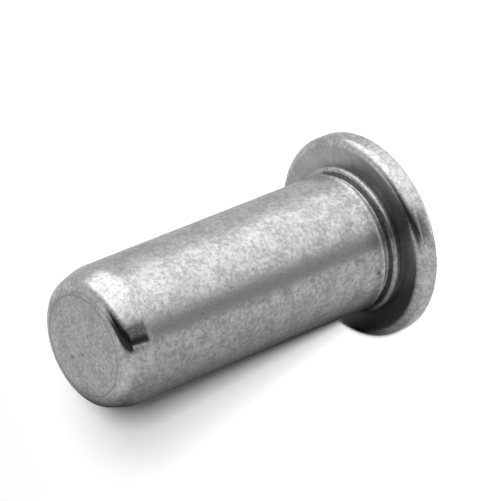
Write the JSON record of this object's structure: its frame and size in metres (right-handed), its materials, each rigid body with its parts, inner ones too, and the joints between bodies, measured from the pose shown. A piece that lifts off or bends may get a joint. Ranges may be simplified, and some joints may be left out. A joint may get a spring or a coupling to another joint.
{
  "type": "blind rivet nut",
  "caption": "Closed-end blind rivet nut: a plain round shank with a blind threaded bore, a relief groove and a short collar at its foot, and a flat round head that seats on the sheet.",
  "frame": {"origin": "centre of the head's outer face, at the mouth of the bore, where the nut stands", "axes": "+Z along the nut's axis, from the head towards the closed end; X and Y are square to it, and any turn about Z is the same"},
  "size_m": [0.0162, 0.0162, 0.0283],
  "materials": {
    "steel": "plain steel, tumbled after forming: fine mottled satin grain, smoother on the flat end face and brighter on the rounded edges"
  },
  "bodies": {
    "root": {"rivet_nut": "steel"}
  },
  "joints": []
}
